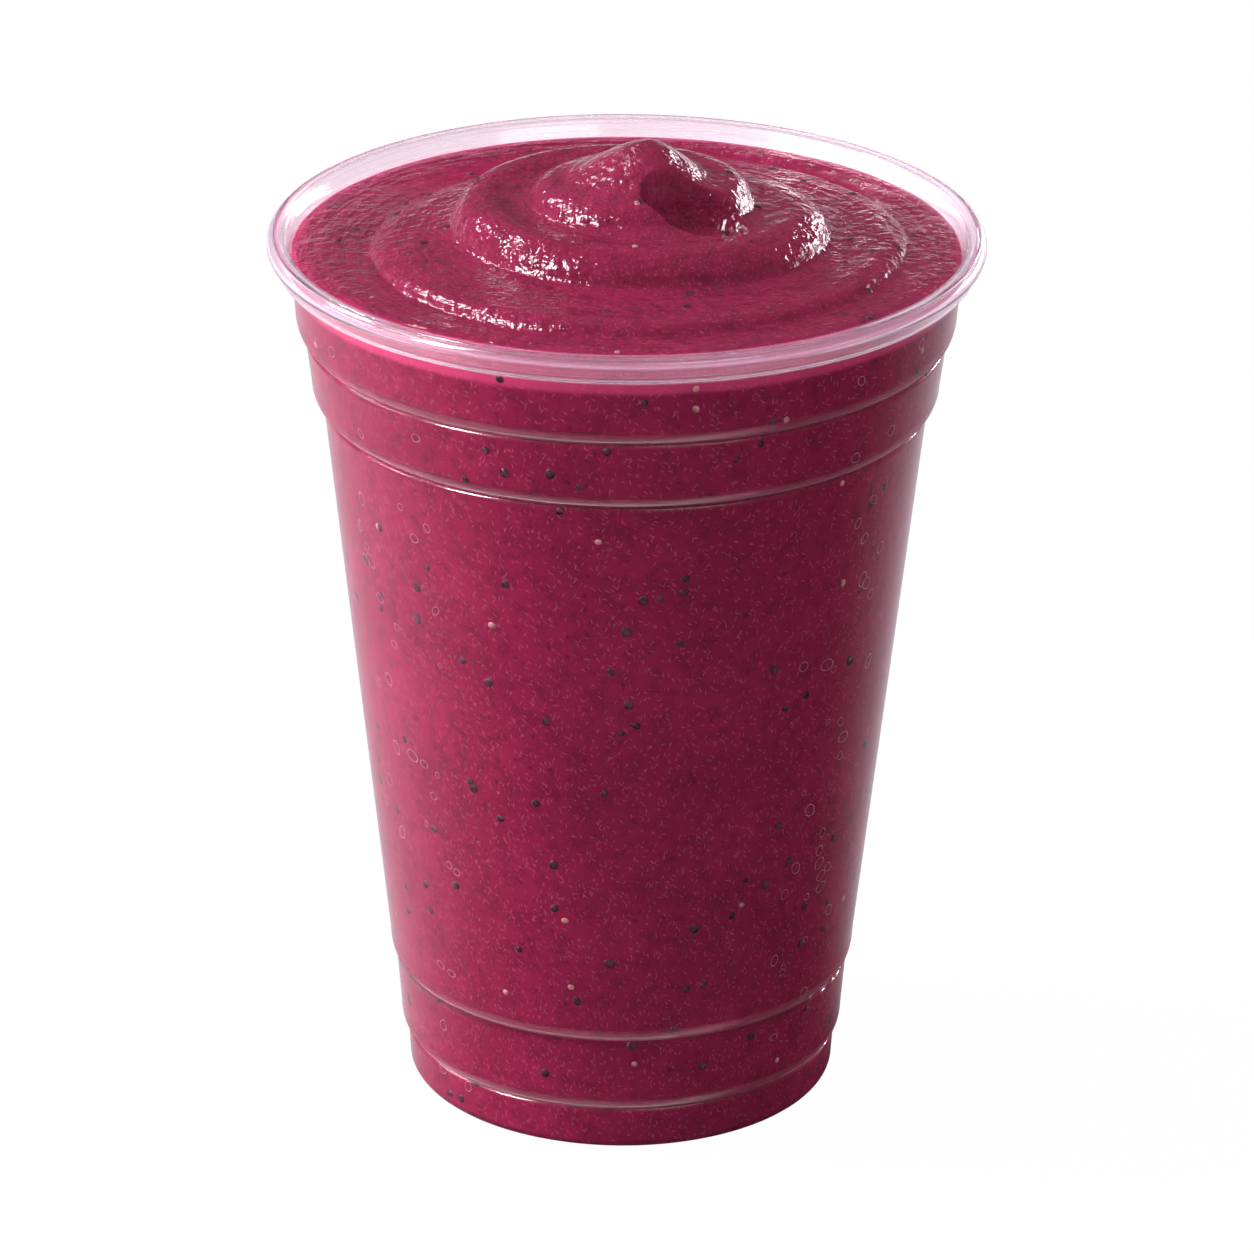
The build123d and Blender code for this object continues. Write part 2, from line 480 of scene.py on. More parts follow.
def spun(name: str, line: list[tuple[float, float]], steps: int) -> bpy.types.Object:
    """Model a round shell: a line is drawn by extruding a corner, then spun about the upright axis.

    Args:
        name: name of the piece.
        line: corners of the half section as (radius, height), in metres.
        steps: number of steps in the full turn.

    Returns:
        The new object, with its seam and poles merged.
    """
    deselect_everything()
    bpy.ops.mesh.primitive_plane_add(size=MM, location=(0, 0, 0))
    piece = bpy.context.object
    piece.name = name
    piece.data.name = name
    bpy.ops.object.mode_set(mode="EDIT")
    bpy.ops.mesh.merge(type="CENTER")
    here = (0.0, 0.0)
    for i, corner in enumerate(line):
        step = (corner[0] - here[0], 0.0, corner[1] - here[1])
        if i == 0:
            bpy.ops.transform.translate(value=step)
        else:
            bpy.ops.mesh.extrude_region_move(TRANSFORM_OT_translate={"value": step})
        here = corner
    bpy.ops.mesh.select_all(action="SELECT")
    bpy.ops.mesh.spin(steps=steps, angle=math.tau, center=(0, 0, 0), axis=(0, 0, 1))
    bpy.ops.mesh.select_all(action="SELECT")
    bpy.ops.mesh.remove_doubles(threshold=0.005 * MM)
    bpy.ops.mesh.normals_make_consistent(inside=False)
    bpy.ops.object.mode_set(mode="OBJECT")
    return piece


def beside(line: list[tuple[float, float]], distance: float) -> list[tuple[float, float]]:
    """Line that runs at a distance to the left of another, with its points on the axis kept there.

    Args:
        line: points as (radius, height).
        distance: how far to the left; negative for the right.

    Returns:
        One point for each point of the line.
    """
    moved = []
    for i, here in enumerate(line):
        before = line[max(i - 1, 0)]
        after = line[min(i + 1, len(line) - 1)]
        ways = []
        for start, end in ((before, here), (here, after)):
            length = math.dist(start, end)
            if length > 0:
                ways.append(((start[1] - end[1]) / length, (end[0] - start[0]) / length))
        across = [sum(way[k] for way in ways) / len(ways) for k in (0, 1)]
        size = max(math.hypot(*across), 0.8)
        step = [distance * part / size**2 for part in across]
        radius = here[0] + step[0] if here[0] > 0 else 0.0
        moved.append((radius, here[1] + step[1]))
    return moved


def dress(piece: bpy.types.Object, material: bpy.types.Material) -> None:
    """Smooth a piece, give it its material, and make it ride on the body."""
    piece.data.materials.clear()
    piece.data.materials.append(material)
    piece.data.polygons.foreach_set("use_smooth", [True] * len(piece.data.polygons))
    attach(piece, "root")
    log.info("%s: %d faces", piece.name, len(piece.data.polygons))


def arc(
    center: tuple[float, float], size: tuple[float, float], turns: tuple[float, float], count: int
) -> list[tuple[float, float]]:
    """Points of an elliptical arc.

    Args:
        center: middle of the ellipse.
        size: half width and half height.
        turns: start and end angle in degrees.
        count: number of steps.

    Returns:
        The points from start to end.
    """
    points = []
    for i in range(count + 1):
        turn = math.radians(turns[0] + (turns[1] - turns[0]) * i / count)
        points.append((center[0] + size[0] * math.cos(turn), center[1] + size[1] * math.sin(turn)))
    return points


# ---------------------------------------------------------------- the cup


@dataclass(frozen=True)
class Band:
    """One band of the cup's wall.

    Attributes:
        height: height of the band.
        lean: outward lean per height.
        ledge: width of the ledge at its end.
        rounding: height of the ledge's curve.
    """

    height: float
    lean: float
    ledge: float
    rounding: float


@dataclass
class Cup:
    """Thin formed cup with stacked bands and a rolled rim. Sizes in millimetres.

    Attributes:
        height: height of the rim's top over the table.
        rim_diameter: outside of the rolled rim.
        base_diameter: outside of the foot, were its edge sharp.
        sheet: thickness of the sheet.
        base_edge: rounding of the foot's outer edge.
        foot_width: width of the ring that it stands on.
        push_up: height of the raised base.
        push_slope: width of the slope up to it.
        push_corner: how far the rounded corner on top of that slope reaches out and down.
        foot_corner: how far the rounded corner under that slope reaches in and up.
        rim_width: how far the rim stands out from the wall.
        rim_depth: height of the rim.
        rim_flare: how far the wall leans out within the rim.
        flare: points of the sheet where it leaves the wall, out and up from the wall's top.
        lip: middle of the inner lip's arc, in from the wall's top and down from the crown.
        crown: points of the crown, out from the wall's top and down from the crown.
        roll_size: radius of the outer roll, and how far under the crown its middle lies.
        tuck: points of the tuck, in from the outside and up from the wall's top.
        curl: middle of the curled end, in from the outside and up from the wall's top.
        curl_radius: radius of the curled end.
        ledge_lift: how far a ledge's inside lies above its outside, in sheet thicknesses.
        steps: steps in the full turn.
        lower: bands from the foot up.
        upper: bands from the rim down.
    """

    height: float = 125.0
    rim_diameter: float = 98.0
    base_diameter: float = 59.9
    sheet: float = 0.6
    base_edge: float = 1.45
    foot_width: float = 3.2
    push_up: float = 2.2
    push_slope: float = 1.6
    push_corner: tuple[float, float] = (0.5, 0.35)
    foot_corner: tuple[float, float] = (0.4, 0.3)
    rim_width: float = 3.2
    rim_depth: float = 4.3
    rim_flare: float = 1.1
    flare: tuple[tuple[float, float], ...] = ((0.0, 0.0), (0.15, 0.9), (0.42, 1.9), (0.75, 2.9))
    lip: tuple[float, float] = (1.75, 0.75)
    crown: tuple[tuple[float, float], ...] = ((2.2, 0.0), (2.6, 0.02))
    roll_size: tuple[float, float] = (0.95, 1.0)
    tuck: tuple[tuple[float, float], ...] = ((0.60, 1.75), (1.05, 0.95))
    curl: tuple[float, float] = (1.75, 0.95)
    curl_radius: float = 0.62
    ledge_lift: float = 0.6
    steps: int = 300
    lower: tuple[Band, ...] = (Band(6.9, 0.050, 0.86, 2.3), Band(11.3, 0.065, 0.80, 3.1))
    upper: tuple[Band, ...] = (Band(9.25, 0.068, 1.17, 2.8), Band(9.93, 0.098, 1.47, 2.6))

    def wall_top(self) -> tuple[float, float]:
        """Radius and height of the wall's outside where the rim begins."""
        return self.rim_diameter / 2 - self.rim_width, self.height - self.rim_depth

    def creases(self) -> list[tuple[float, float, float, float]]:
        """Each crease from the foot up: radius, height, ledge and rounding above it."""
        found = []
        radius, height = self.base_diameter / 2, 0.0
        for band in self.lower:
            height += band.height
            radius += band.height * band.lean
            found.append((radius, height, band.ledge, band.rounding))
            radius += band.ledge
        above = []
        radius, height = self.wall_top()
        for band in self.upper:
            height -= band.height
            radius -= band.height * band.lean + band.ledge
            above.append((radius, height, band.ledge, band.rounding))
        return found + above[::-1]

    def wall_line(self, inset: float, gap: float = 1.6) -> list[tuple[float, float]]:
        """Half section of the wall's outside moved in by inset.

        Args:
            inset: how far inside the cup's outer face the line lies.
            gap: longest straight step.

        Returns:
            Points from the axis under the base to the wall's top, in millimetres.
        """
        edge = self.base_edge
        foot_outer = self.base_diameter / 2 - edge
        foot_inner = foot_outer - self.foot_width
        flank = foot_inner - self.push_slope
        raised = self.push_up + inset
        line = [(flank * share, raised) for share in (0.0, 0.25, 0.5, 0.75, 0.97)]
        line.append((flank + self.push_corner[0], raised - self.push_corner[1]))
        line.append((foot_inner - self.foot_corner[0], inset + self.foot_corner[1]))
        line.append((foot_inner + 0.1, inset))
        line += arc((foot_outer - inset, edge + inset), (edge, edge), (-90, 0), 8)
        for radius, height, ledge, rounding in self.creases():
            crease = (radius - inset, height + self.ledge_lift * inset)
            self._straight(line, crease, gap)
            middle = (crease[0], height + rounding)
            tall = middle[1] - crease[1]
            line += arc(middle, (ledge, tall), (-90 + 7, 0), 9)
        top = self.wall_top()
        self._straight(line, (top[0] - inset, top[1]), gap)
        return line

    @staticmethod
    def _straight(line: list[tuple[float, float]], end: tuple[float, float], gap: float) -> None:
        """Carry a line on to a point in short steps, with a tight pair of corners at its end."""
        start = line[-1]
        length = math.dist(start, end)
        count = max(1, math.ceil(length / gap))
        for i in range(1, count + 1):
            share = i / count
            if i == count:
                near = 1 - CREASE_GAP / length
                line.append(tuple(a + (b - a) * near for a, b in zip(start, end)))
            line.append(tuple(a + (b - a) * share for a, b in zip(start, end)))

    def roll(self) -> list[tuple[float, float]]:
        """Middle line of the rolled part of the sheet, from the flare's top round to its tucked end."""
        radius, height = self.wall_top()
        inner = radius - self.sheet / 2
        top = self.height - self.sheet / 2
        outer = self.rim_diameter / 2 - self.sheet / 2
        line = [(inner + out, height + up) for out, up in self.flare]
        line += arc((inner + self.lip[0], top - self.lip[1]), (self.lip[1], self.lip[1]), (165, 90), 5)
        line += [(inner + out, top - down) for out, down in self.crown]
        radius, drop = self.roll_size
        line += arc((outer - radius, top - drop), (radius, radius), (88, -30), 9)
        line += [(outer - into, height + up) for into, up in self.tuck]
        curl = (outer - self.curl[0], height + self.curl[1])
        line += arc(curl, (self.curl_radius, self.curl_radius), (-25, -115), 6)
        return line

    def build(self, material: bpy.types.Material) -> bpy.types.Object:
        """Model the cup as the spun outline of its sheet, and dress it."""
        middle = self.wall_line(self.sheet / 2)[:-1] + self.roll()
        outer = beside(middle, -self.sheet / 2)
        inner = beside(middle, self.sheet / 2)
        line = [(r * MM, z * MM) for r, z in outer + inner[::-1]]
        piece = spun("cup_shell", line, self.steps)
        dress(piece, material)
        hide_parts("cup")
        return piece


# ---------------------------------------------------------------- the smoothie


@dataclass
class Swirl:
    """Shape of the smoothie's top, as heights over the level at the wall. Millimetres.

    Attributes:
        center: middle of the spiral.
        pitch: radial distance from one fold to the next.
        edge: radius of the fold's outer edge where its turn begins.
        fold_crest: share of a fold's width at which it is highest.
        fold_turns: turns along the spiral at which its height is given.
        fold_heights: heights there, over the furrow outside the fold.
        wall_fade: distance from the wall over which the heap runs out.
        dome_height: height of the heap's shoulder.
        dome_radius: radius at which the heap starts to rise.
        dome_shoulder: radius inside which its shoulder is flat.
        tilt: how much the heap leans up towards the front.
        peak: place of the peak.
        peak_height: height of the peak.
        peak_slope: slope of its sides.
        peak_tip: radius of its rounded tip.
        peak_blend: softness of the line round its foot.
        steep_side: how much steeper its right side is.
        push: how far the outer turn bulges out towards the front.
        push_from: radius from which it does so.
        push_width: run over which the bulge comes in.
        push_angle: where it is largest, degrees from +X towards +Y.
        push_spread: how far it spreads round, degrees.
        bowl: place of the hollow in the peak, and the height of its floor.
        bowl_size: half sizes of the hollow.
        bowl_wall: rise of its side at those half sizes.
        bowl_power: how suddenly that side rises.
        bowl_reach: half sizes beyond which it rises no further.
        bowl_blend: softness of its lip.
    """

    center: tuple[float, float] = (-0.8, 2.0)
    pitch: float = 10.5
    edge: float = 17.85
    fold_crest: float = 0.72
    fold_turns: tuple[float, ...] = (-1.0, -0.5, -0.25, 0.0, 0.15, 0.3, 0.5, 0.7, 1.0, 1.15, 1.4)
    fold_heights: tuple[float, ...] = (3.3, 3.1, 2.9, 2.4, 1.8, 1.3, 1.4, 1.9, 1.4, 0.6, 0.1)
    wall_fade: float = 5.0
    dome_height: float = 6.1
    dome_radius: float = 35.0
    dome_shoulder: float = 13.0
    tilt: float = 0.03
    peak: tuple[float, float] = (2.8, 0.9)
    peak_height: float = 15.2
    peak_slope: float = 0.66
    peak_tip: float = 3.5
    peak_blend: float = 1.2
    steep_side: float = 1.4
    push: float = 3.0
    push_from: float = 29.0
    push_width: float = 7.0
    push_angle: float = 262.0
    push_spread: float = 50.0
    bowl: tuple[float, float, float] = (9.8, -8.4, 4.0)
    bowl_size: tuple[float, float] = (7.2, 4.6)
    bowl_wall: float = 3.0
    bowl_power: float = 8.0
    bowl_reach: float = 2.0
    bowl_blend: float = 0.25

    @staticmethod
    def smooth(value: np.ndarray) -> np.ndarray:
        """S-shaped rise from 0 to 1."""
        value = np.clip(value, 0.0, 1.0)
        return value * value * (3 - 2 * value)

    def fold(self, share: np.ndarray) -> np.ndarray:
        """Height of a fold across its width: a slow rise to the crest, then a steep outer face."""
        rise = self.smooth(share / self.fold_crest)
        fall = np.clip((share - self.fold_crest) / (1 - self.fold_crest), 0, 1)
        return np.where(share < self.fold_crest, rise, np.sqrt(1 - fall * fall))

    def height(self, x: np.ndarray, y: np.ndarray, wall: float) -> np.ndarray:
        """Height of the top at a place.

        Args:
            x: places to the right.
            y: places to the back.
            wall: radius at which the heap has run out.

        Returns:
            Heights over the level at the wall.
        """
        dx, dy = x - self.center[0], y - self.center[1]
        radius = np.hypot(dx, dy)
        turn = np.mod(np.arctan2(dy, dx) / math.tau, 1.0)
        off = (turn * 360 - self.push_angle) / self.push_spread
        pushed = self.push * np.exp(-off * off) * self.smooth((radius - self.push_from) / self.push_width)
        folds = (radius - pushed - self.edge) / self.pitch - turn
        share = np.mod(folds, 1.0)
        along = np.floor(folds) + turn
        shoulder = self.smooth((self.dome_radius - radius) / (self.dome_radius - self.dome_shoulder))
        edge_fade = self.smooth((wall - np.hypot(x, y)) / self.wall_fade)
        crest = np.interp(along, self.fold_turns, self.fold_heights)
        heap = self.dome_height * shoulder + crest * self.fold(share)
        heap = (heap - self.tilt * dy) * edge_fade
        side = x - self.peak[0]
        side = np.where(side > 0, side * self.steep_side, side)
        away = np.hypot(side, y - self.peak[1])
        peak = self.peak_height - self.peak_slope * (np.hypot(away, self.peak_tip) - self.peak_tip)
        over = (peak - heap) / self.peak_blend
        blended = heap + self.peak_blend * (np.log1p(np.exp(-np.abs(over))) + np.maximum(over, 0))
        blended = np.minimum(blended, self.peak_height)
        away = np.hypot((x - self.bowl[0]) / self.bowl_size[0], (y - self.bowl[1]) / self.bowl_size[1])
        bowl = self.bowl[2] + self.bowl_wall * np.minimum(away, self.bowl_reach) ** self.bowl_power
        over = (blended - bowl) / self.bowl_blend
        cut = np.log1p(np.exp(-np.abs(over))) + np.maximum(over, 0)
        return blended - self.bowl_blend * cut


@dataclass
class Smoothie:
    """The drink: a filled body that reaches just into the cup's wall, with a swirled top.

    Attributes:
        cup: the cup that it fills.
        swirl: shape of its top.
        fill_drop: how far its level at the wall lies under the rim's top.
        reach: how far inside the cup's outer face its side lies.
        rows: rings of corners in its top.
        steps: steps in the full turn.
    """

    cup: Cup
    swirl: Swirl = field(default_factory=Swirl)
    fill_drop: float = 2.7
    reach: float = 0.30
    rows: int = 190
    steps: int = 300

    def level(self) -> float:
        """Height of the smoothie at the wall, in millimetres."""
        return self.cup.height - self.fill_drop

    def side_line(self) -> list[tuple[float, float]]:
        """Half section of the body from the axis under the base up to its level."""
        line = self.cup.wall_line(self.reach, 3.0)
        top = line[-1]
        lean = self.cup.rim_flare / self.cup.rim_depth
        line.append((top[0] + lean * (self.level() - top[1]), self.level()))
        return line

    def build(self, material: bpy.types.Material) -> bpy.types.Object:
        """Model the drink as one spun body, then press the swirl into its top."""
        side = self.side_line()
        wall = side[-1][0]
        top = [(wall * (1 - i / self.rows), self.level()) for i in range(1, self.rows + 1)]
        line = [(r * MM, z * MM) for r, z in side + top]
        piece = spun("smoothie_drink", line, self.steps)
        self._press_swirl(piece, wall)
        dress(piece, material)
        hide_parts("smoothie")
        return piece

    def surface(self, places: np.ndarray, wall: float) -> np.ndarray:
        """Points on the swirled top over flat places, in millimetres.

        Args:
            places: one row for each place, (x, y).
            wall: the body's radius at its level.

        Returns:
            One row for each point, (x, y, z), with z from the cup's foot.
        """
        share = 1 - np.hypot(places[:, 0], places[:, 1]) / wall
        x = places[:, 0] + self.swirl.peak[0] * share
        y = places[:, 1] + self.swirl.peak[1] * share
        return np.stack([x, y, self.level() + self.swirl.height(x, y, wall)], axis=1)

    def _press_swirl(self, piece: bpy.types.Object, wall: float) -> None:
        """Move the flat top's corners onto the swirl."""
        mesh = piece.data
        places = np.zeros(len(mesh.vertices) * 3)
        mesh.vertices.foreach_get("co", places)
        places = places.reshape(-1, 3) / MM
        flat = places[:, 2] > self.level() - 0.001
        flat &= np.hypot(places[:, 0], places[:, 1]) < wall - 0.01
        places[flat] = self.surface(places[flat][:, :2], wall)
        mesh.vertices.foreach_set("co", (places * MM).ravel())
        mesh.update()


# ---------------------------------------------------------------- seeds and bubbles


@dataclass
class Scatter:
    """Many small grains or thin rings of one kind, pressed into the drink.

    Attributes:
        name: name of the piece.
        on_wall: how many lie around the wall.
        on_top: how many lie on the swirl.
        size: smallest and largest width.
        flat: thickness as a share of the width.
        crest: how far inside the cup's outer face a grain's outermost point lies.
        chance: seed of the random places.
        longest: largest length as a share of the width.
        ring: half thickness of a thin ring, in half widths; None for solid grains.
        sides_only: whether the grains keep to the left and right.
        foot_gap: height from which they lie on the wall.
        rim_gap: how far they end under the wall's top, and inside it on the swirl.
        steepest: growth of the wall's radius in half a millimetre above which none lie.
        side_cosine: least cosine of the angle from the X axis at the sides.
        sunk: how deep they lie in the swirl, in half thicknesses.
    """

    name: str
    on_wall: int
    on_top: int
    size: tuple[float, float]
    flat: float
    crest: float
    chance: int
    longest: float = 1.3
    ring: float | None = None
    sides_only: bool = False
    foot_gap: float = 2.5
    rim_gap: tuple[float, float] = (0.5, 3.0)
    steepest: float = 0.12
    side_cosine: float = 0.62
    sunk: float = 0.45

    def build(self, drink: "Smoothie", material: bpy.types.Material, finish: Finish) -> bpy.types.Object:
        """Model one grain, repeat it at all places in the drink, and dress the piece."""
        draw = np.random.default_rng(self.chance)
        deselect_everything()
        if self.ring is None:
            bpy.ops.mesh.primitive_ico_sphere_add(subdivisions=2, radius=1.0, location=(0, 0, 0))
        else:
            bpy.ops.mesh.primitive_torus_add(
                major_segments=16, minor_segments=4, major_radius=1.0, minor_radius=self.ring
            )
        piece = bpy.context.object
        piece.name = piece.data.name = self.name
        grain = np.array([corner.co[:] for corner in piece.data.vertices])
        faces = np.array([face.vertices[:] for face in piece.data.polygons])
        frames = self._wall_frames(drink, draw) + self._top_frames(drink, draw)
        corners, polygons = [], []
        for middle, axes in frames:
            polygons.append(faces + len(corners) * len(grain))
            corners.append(middle + grain @ axes)
        piece.data.clear_geometry()
        piece.data.from_pydata(np.concatenate(corners) * MM, [], np.concatenate(polygons).tolist())
        piece.data.update()
        dress(piece, material)
        return piece

    def _grain(self, draw: np.random.Generator) -> np.ndarray:
        """Half sizes of one grain: along, across and thick."""
        width = draw.uniform(*self.size) / 2
        return np.array([width * draw.uniform(1.0, self.longest), width, width * self.flat])

    @staticmethod
    def _axes(out: np.ndarray, turn: float, half: np.ndarray) -> np.ndarray:
        """Rows that carry a unit grain to its size, with its thin side facing out."""
        out = out / np.linalg.norm(out)
        side = np.cross((0.0, 0.0, 1.0), out)
        side = side / np.linalg.norm(side) if np.linalg.norm(side) > 1e-6 else np.array([1.0, 0.0, 0.0])
        up = np.cross(out, side)
        along = math.cos(turn) * side + math.sin(turn) * up
        across = np.cross(out, along)
        return np.stack([along * half[0], across * half[1], out * half[2]])

    def _wall_frames(self, drink: "Smoothie", draw: np.random.Generator) -> list:
        """Middles and axes of the grains around the wall."""
        outside = np.array(drink.cup.wall_line(0.0, 0.6))
        outside = outside[np.argmax(outside[:, 0] > drink.cup.base_diameter / 2 - 0.01):]
        frames = []
        while len(frames) < self.on_wall:
            height = draw.uniform(self.foot_gap, drink.cup.wall_top()[1] - self.rim_gap[0])
            radius = np.interp(height, outside[:, 1], outside[:, 0])
            if draw.uniform() * outside[-1, 0] > radius:
                continue
            above = np.interp(height + 0.5, outside[:, 1], outside[:, 0])
            turn = draw.uniform(0, math.tau)
            spin = draw.uniform(0, math.tau)
            half = self._grain(draw)
            in_front = self.sides_only and abs(math.cos(turn)) < self.side_cosine
            if above - radius > self.steepest or in_front:
                continue
            out = np.array([math.cos(turn), math.sin(turn), (radius - above) * 2])
            face = np.array([math.cos(turn) * radius, math.sin(turn) * radius, height])
            middle = face - out / np.linalg.norm(out) * (self.crest + half[2])
            frames.append((middle, self._axes(out, spin, half)))
        return frames

    def _top_frames(self, drink: "Smoothie", draw: np.random.Generator) -> list:
        """Middles and axes of the grains on the swirl."""
        frames = []
        wall = drink.side_line()[-1][0]
        for _ in range(self.on_top):
            radius = (wall - self.rim_gap[1]) * math.sqrt(draw.uniform(0.02, 1))
            turn, spin = draw.uniform(0, math.tau, 2)
            half = self._grain(draw)
            here = np.array([radius * math.cos(turn), radius * math.sin(turn)])
            near = np.array([here, here + (0.4, 0), here + (0, 0.4)])
            points = drink.surface(near, wall)
            out = np.cross(points[1] - points[0], points[2] - points[0])
            out /= np.linalg.norm(out)
            frames.append((points[0] - out * half[2] * self.sunk, self._axes(out, spin, half)))
        return frames


# ---------------------------------------------------------------- stage, light and camera


@dataclass
class Studio:
    """Pale floor, white surroundings, soft lamps and the camera.

    Attributes:
        camera_distance: how far in front the camera stands.
        camera_height: its height.
        camera_tilt: degrees that it looks down.
        camera_side: how far it stands to the right.
        camera_roll: degrees that it is rolled.
        focal: its focal length in millimetres.
        floor_size: side of the floor.
        floor_white: share of white in the floor where it shows white.
        floor_mirrored: light of the floor behind the cup in mirrored rays.
        slant: how far that light leans to the left.
        ambient: light from all around.
        mirrored: the same in mirrored rays.
        lost: share of the white that mirrored rays lose.
    """

    camera_distance: float = 0.9339
    camera_height: float = 0.4673
    camera_tilt: float = 23.24
    camera_side: float = 0.00043
    camera_roll: float = 0.44
    focal: float = 209.65
    floor_size: float = 6.0
    ambient: float = 0.56
    mirrored: float = 0.10
    lost: float = 0.35
    floor_white: float = 0.985
    floor_mirrored: float = 0.72
    slant: float = 0.46

    def _white(self, shader: Shader) -> tuple[Value, Value]:
        """How far a ray sees plain white, and whether a glossy face has mirrored it."""
        path = shader.node("ShaderNodeLightPath", {})
        names = ("Is Camera Ray", "Is Transmission Ray", "Diffuse Depth", "Glossy Depth")
        camera, passed, dull, glossy = (Value(shader, path.outputs[name]) for name in names)
        bounced = glossy.above(0.5, 0.1)
        direct = 1 - dull.above(0.5, 0.1)
        return (camera + passed) * direct * (1 - bounced * self.lost), bounced

    def floor(self) -> None:
        """Pale floor that shows white, keeps a soft shadow, and mirrors brighter towards the back."""
        deselect_everything()
        bpy.ops.mesh.primitive_plane_add(size=self.floor_size, location=(0, 0, -0.0002))
        ground = bpy.context.object
        ground.name = "floor"
        shader = Shader.material("floor")
        x, y, _ = shader.place()[1]
        behind = (y - x * self.slant) / (x * x + y * y + 1e-6) ** 0.5
        mirrored = behind.above(0.12, 1.5) * self.floor_mirrored + 0.02
        white_share, bounced = self._white(shader)
        plain = shader.node("ShaderNodeBsdfDiffuse", {}, (0.80, 0.80, 0.80, 1.0))
        white = shader.node("ShaderNodeEmission", {}, (1.0, 1.0, 1.0, 1.0), 1.0)
        glossy = shader.node("ShaderNodeEmission", {}, (0.98, 0.92, 1.0, 1.0), mirrored)
        under = shader.node("ShaderNodeMixShader", {}, bounced, plain.outputs[0], glossy.outputs[0])
        share = white_share * self.floor_white
        both = shader.node("ShaderNodeMixShader", {}, share, under.outputs[0], white.outputs[0])
        ground.data.materials.append(shader.finish(both.outputs[0]))
        ground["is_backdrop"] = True

    def surroundings(self) -> None:
        """White to the camera and through plastic; plain dimmer light for the rest."""
        shader = Shader(bpy.data.worlds.new("surroundings"))
        white, bounced = self._white(shader)
        level = self.ambient - bounced * (self.ambient - self.mirrored)
        strength = (1 - white) * level + white
        background = shader.node("ShaderNodeBackground", {}, (1.0, 1.0, 1.0, 1.0), strength)
        bpy.context.scene.world = shader.finish(background.outputs[0])

    @staticmethod
    def lamp(
        name: str,
        place: tuple[float, float, float],
        size: tuple[float, float],
        power: float,
        fill: bool = True,
        shine: bool = True,
    ) -> None:
        """Soft rectangular lamp that looks at the drink.

        Args:
            name: name of the lamp.
            place: its middle.
            size: width and height.
            power: watts.
            fill: whether it lights dull faces.
            shine: whether glossy faces mirror it.
        """
        light = bpy.data.lights.new(name, "AREA")
        light.shape = "RECTANGLE"
        light.size, light.size_y = size
        light.energy = power
        lamp = bpy.data.objects.new(name, light)
        bpy.context.scene.collection.objects.link(lamp)
        lamp.location = place
        lamp.visible_diffuse = fill
        lamp.visible_glossy = shine
        aim = Vector((0, 0, 0.09)) - Vector(place)
        lamp.rotation_euler = aim.to_track_quat("-Z", "Y").to_euler()

    def camera(self) -> None:
        """Camera at the height, distance and tilt of the view."""
        data = bpy.data.cameras.new("camera")
        data.lens = self.focal
        data.sensor_width = 36.0
        data.clip_start = 0.05
        camera = bpy.data.objects.new("camera", data)
        bpy.context.scene.collection.objects.link(camera)
        camera.location = (self.camera_side, -self.camera_distance, self.camera_height)
        level = Euler((math.radians(90 - self.camera_tilt), 0.0, 0.0)).to_matrix()
        roll = Euler((0.0, 0.0, math.radians(self.camera_roll))).to_matrix()
        camera.rotation_euler = (level @ roll).to_euler()
        bpy.context.scene.camera = camera

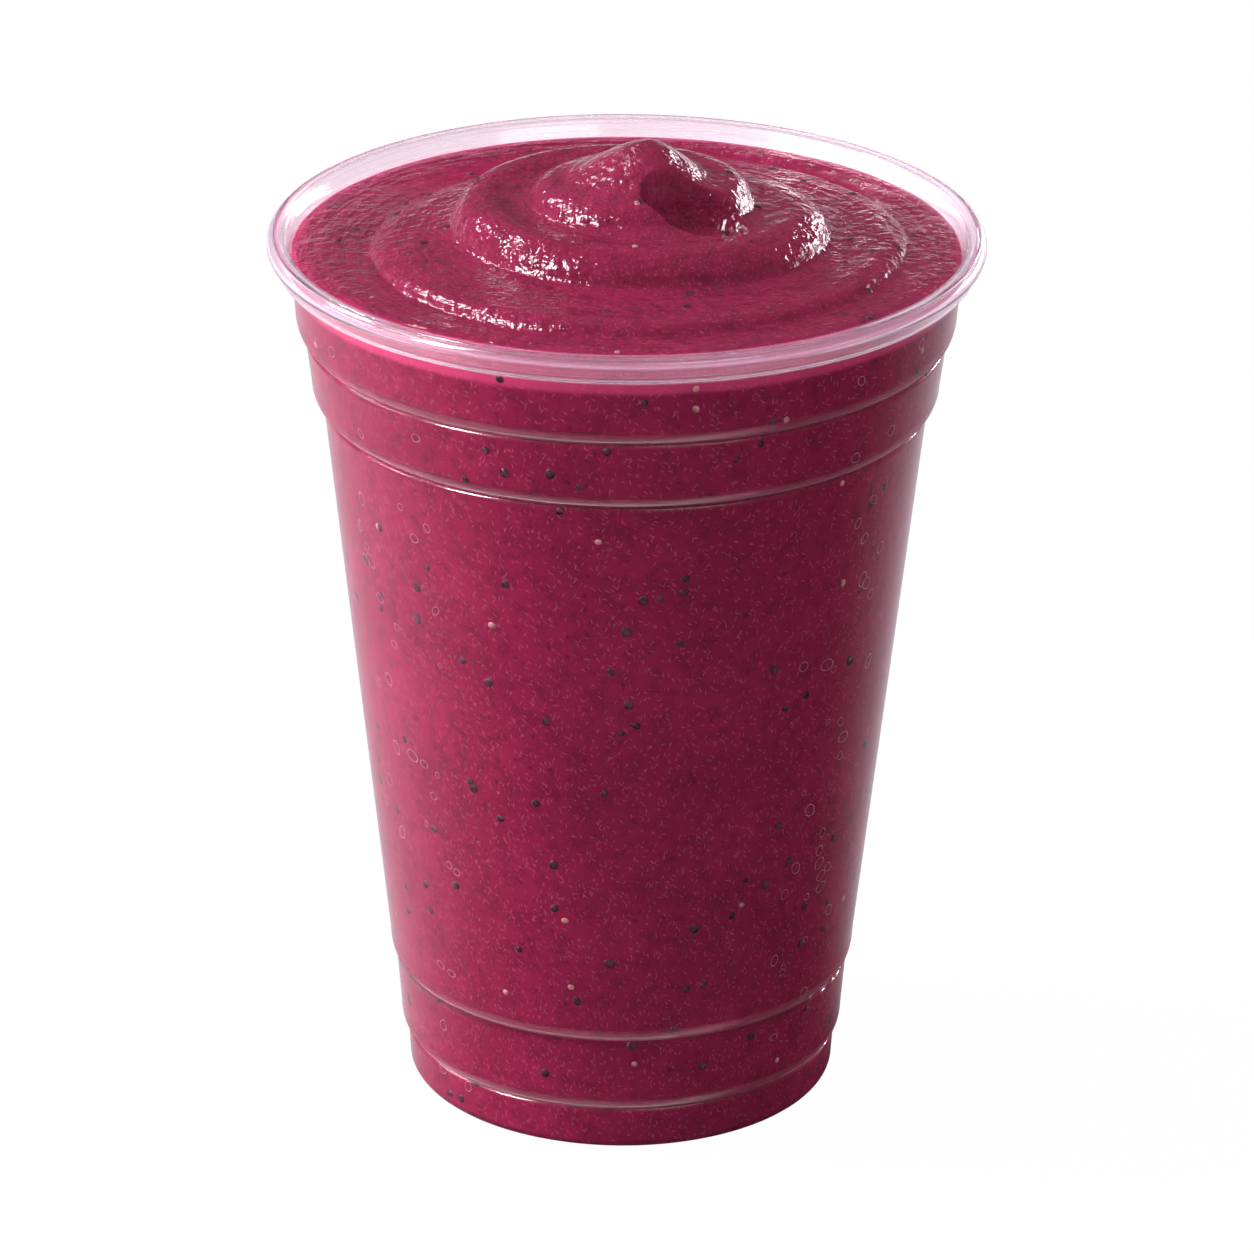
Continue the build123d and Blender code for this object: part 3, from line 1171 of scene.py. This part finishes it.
    def build(self) -> None:
        """Set up everything around the drink."""
        self.camera()
        self.floor()
        self.surroundings()
        self.lamp("left_softbox", (-0.92, 0.10, 0.38), (0.36, 0.40), 13.2, shine=False)
        self.lamp("back_left_strip", (-0.66, 0.38, 0.77), (0.12, 0.22), 6.0, fill=False)
        self.lamp("left_front_strip", (-0.76, -0.36, 0.64), (0.20, 0.44), 18.0, fill=False)
        self.lamp("left_fill", (-0.62, 0.08, 1.06), (0.40, 0.40), 8.0, shine=False)
        self.lamp("front_fill", (0.38, -0.66, 0.98), (0.60, 0.60), 5.0, shine=False)
        self.lamp("right_fill", (0.66, 0.66, 0.13), (0.38, 0.22), 5.8, shine=False)
        self.lamp("right_strip", (0.64, 0.68, 0.15), (0.16, 0.14), 2.6, fill=False)
        self.lamp("back_right_strip", (0.40, 0.86, 0.17), (0.14, 0.06), 0.9, fill=False)
        bpy.context.scene.view_settings.view_transform = "Standard"


def main() -> list[list[float]]:
    """Build everything in order.

    Returns:
        The construction model's box as two corners.
    """
    logging.basicConfig(level=logging.INFO, format="%(name)s: %(message)s")
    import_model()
    frame_box = [list(corner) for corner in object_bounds()]
    Studio().build()
    cup = Cup()
    wall_radius, wall_height = cup.wall_top()
    ledges = tuple(crease[1] * MM for crease in cup.creases())
    plastic = PlasticFinish((wall_height + RIM_START) * MM, ledges)
    cup.build(plastic.build())
    drink = Smoothie(cup)
    puree = SmoothieFinish((drink.level() - WET_DROP) * MM, (wall_radius - PAINTED_GLOW_INSET) * MM)
    drink.build(puree.build())
    dark = SeedFinish("dark_seeds", (0.090, 0.026, 0.050, 1.0), (0.032, 0.009, 0.020, 1.0))
    pale = SeedFinish("pale_seeds", (0.42, 0.20, 0.20, 1.0), (0.28, 0.10, 0.13, 1.0))
    dark_seeds = Scatter("dark_seeds", 250, 40, size=(0.9, 1.65), flat=0.42, crest=0.10, chance=11)
    dark_seeds.build(drink, dark.build(), Finish.DARK_SEEDS)
    pale_seeds = Scatter("pale_seeds", 36, 9, size=(0.7, 1.1), flat=0.5, crest=0.10, chance=23)
    pale_seeds.build(drink, pale.build(), Finish.PALE_SEEDS)
    # Painted highlight: pale thin rings kept to the left and right of the wall stand in for the light that
    # air bubbles against the plastic catch where it grazes.
    bubble_glint_finish = SeedFinish("bubble_rims", (0.40, 0.17, 0.23, 1.0), (0.28, 0.10, 0.15, 1.0))
    bubbles = Scatter(
        "bubble_rims", 300, 0, size=(0.6, 1.7), flat=0.10, crest=0.06, chance=37,
        longest=1.5, ring=0.085, sides_only=True,
    )
    bubbles.build(drink, bubble_glint_finish.build(), Finish.BUBBLE_RIMS)
    return frame_box


if __name__ == "__main__":
    cad_box = main()
